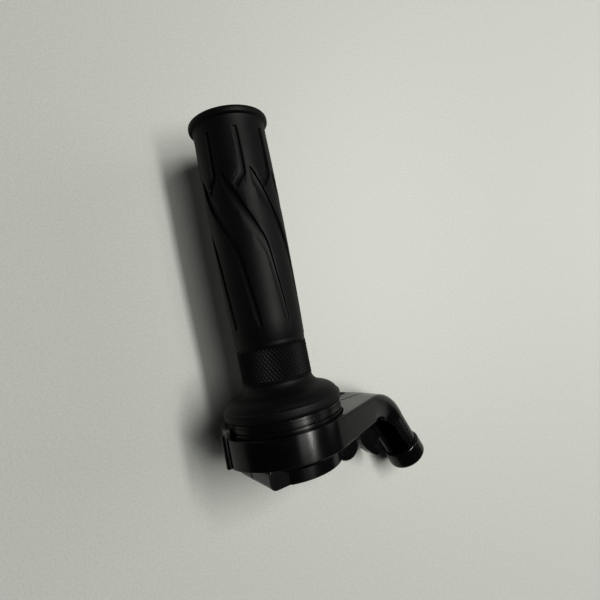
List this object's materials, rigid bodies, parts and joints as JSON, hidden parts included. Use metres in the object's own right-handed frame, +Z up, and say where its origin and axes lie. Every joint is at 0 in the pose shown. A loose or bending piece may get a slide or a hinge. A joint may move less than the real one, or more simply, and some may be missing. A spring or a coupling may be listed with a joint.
{
  "type": "twist grip throttle",
  "caption": "Rubber twist grip on a throttle tube with a cable drum, in a split housing that clamps a handlebar and leads two cables out through a curved trunk.",
  "frame": {"origin": "on the handlebar axis, at the inner end of the clamp in the housing", "axes": "+Y along the handlebar axis towards the grip's open end; +X the way the cable trunk leaves; +Z up as the part lies on a bench"},
  "size_m": [0.1001, 0.1773, 0.0565],
  "materials": {
    "grip_rubber": "matt moulded rubber",
    "soft_rubber": "soft matt rubber",
    "black_nylon": "moulded nylon, semi-matt",
    "dark_nylon": "moulded nylon, semi-matt",
    "case_plastic": "satin black moulded plastic, scuffed on the edges",
    "white_nylon": "natural nylon",
    "plated_steel": "zinc plated",
    "brass": "turned"
  },
  "bodies": {
    "housing": {"front_case": "case_plastic", "rear_case": "case_plastic", "thrust_washer": "white_nylon", "trunk_collar": "case_plastic", "cable_grommet": "soft_rubber", "cable_stop": "plated_steel", "cable_seats": "white_nylon", "case_screws": "plated_steel", "screw_washers": "plated_steel", "threaded_inserts": "brass"},
    "twist": {"throttle_tube": "black_nylon", "rubber_grip": "grip_rubber", "dust_ring": "dark_nylon"}
  },
  "joints": [
    {"name": "grip_twist", "type": "hinge", "parent": "housing", "child": "twist", "pos_m": [0, 0.015, 0], "axis": [0, 1, 0], "range_deg": [0, 75]}
  ]
}
